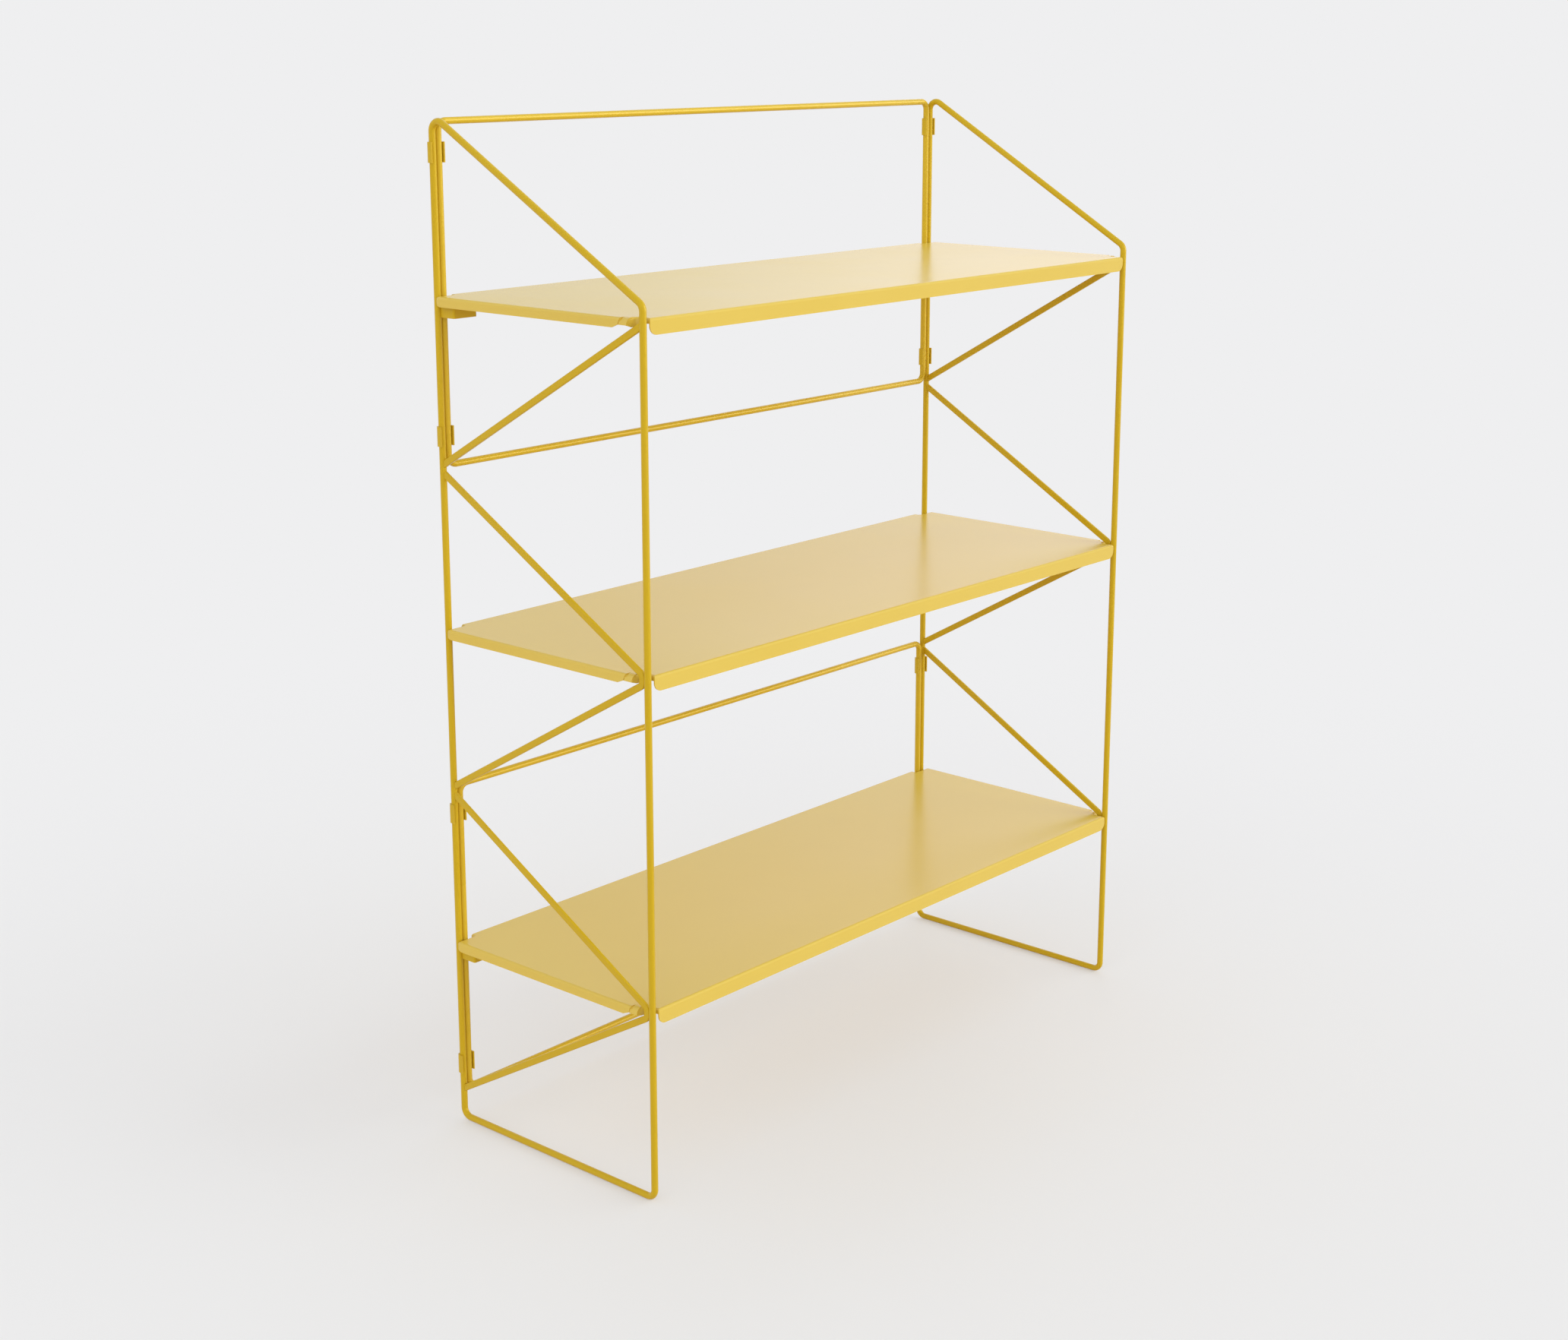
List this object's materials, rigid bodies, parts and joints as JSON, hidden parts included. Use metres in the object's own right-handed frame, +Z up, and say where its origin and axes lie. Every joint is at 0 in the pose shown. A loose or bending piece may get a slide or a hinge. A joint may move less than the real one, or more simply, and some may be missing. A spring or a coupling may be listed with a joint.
{
  "type": "shelving unit",
  "caption": "Free-standing open shelving unit: folded sheet-steel shelves between braced steel-rod side frames, with rod frames clipped to the back posts.",
  "frame": {"origin": "on the floor, under the middle of the unit's overall box", "axes": "+X along the shelves to the right as seen from the front, -Y towards the front, +Z up"},
  "size_m": [0.917, 0.3352, 1.2054],
  "materials": {
    "frame_coat": "satin yellow powder coat on steel rod and bar",
    "shelf_coat": "satin yellow powder coat on folded sheet steel",
    "fitting_coat": "satin yellow powder coat on small sheet-steel fittings and pegs"
  },
  "bodies": {
    "root": {"back_frame_lower": "frame_coat", "back_frame_upper": "frame_coat", "back_peg_left": "fitting_coat", "back_peg_right": "fitting_coat", "brace_bottom_left": "frame_coat", "brace_bottom_right": "frame_coat", "brace_middle_left": "frame_coat", "brace_middle_right": "frame_coat", "brace_top_left": "frame_coat", "brace_top_right": "frame_coat", "clip_lower_bottom_left": "fitting_coat", "clip_lower_bottom_right": "fitting_coat", "clip_lower_top_left": "fitting_coat", "clip_lower_top_right": "fitting_coat", "clip_upper_bottom_left": "fitting_coat", "clip_upper_bottom_right": "fitting_coat", "clip_upper_top_left": "fitting_coat", "clip_upper_top_right": "fitting_coat", "front_pegs_left": "fitting_coat", "front_pegs_right": "fitting_coat", "shelf_bottom": "shelf_coat", "shelf_bracket_bottom_left": "fitting_coat", "shelf_bracket_bottom_right": "fitting_coat", "shelf_bracket_top_left": "fitting_coat", "shelf_bracket_top_right": "fitting_coat", "shelf_middle": "shelf_coat", "shelf_top": "shelf_coat", "side_frame_left": "frame_coat", "side_frame_right": "frame_coat"}
  },
  "joints": []
}
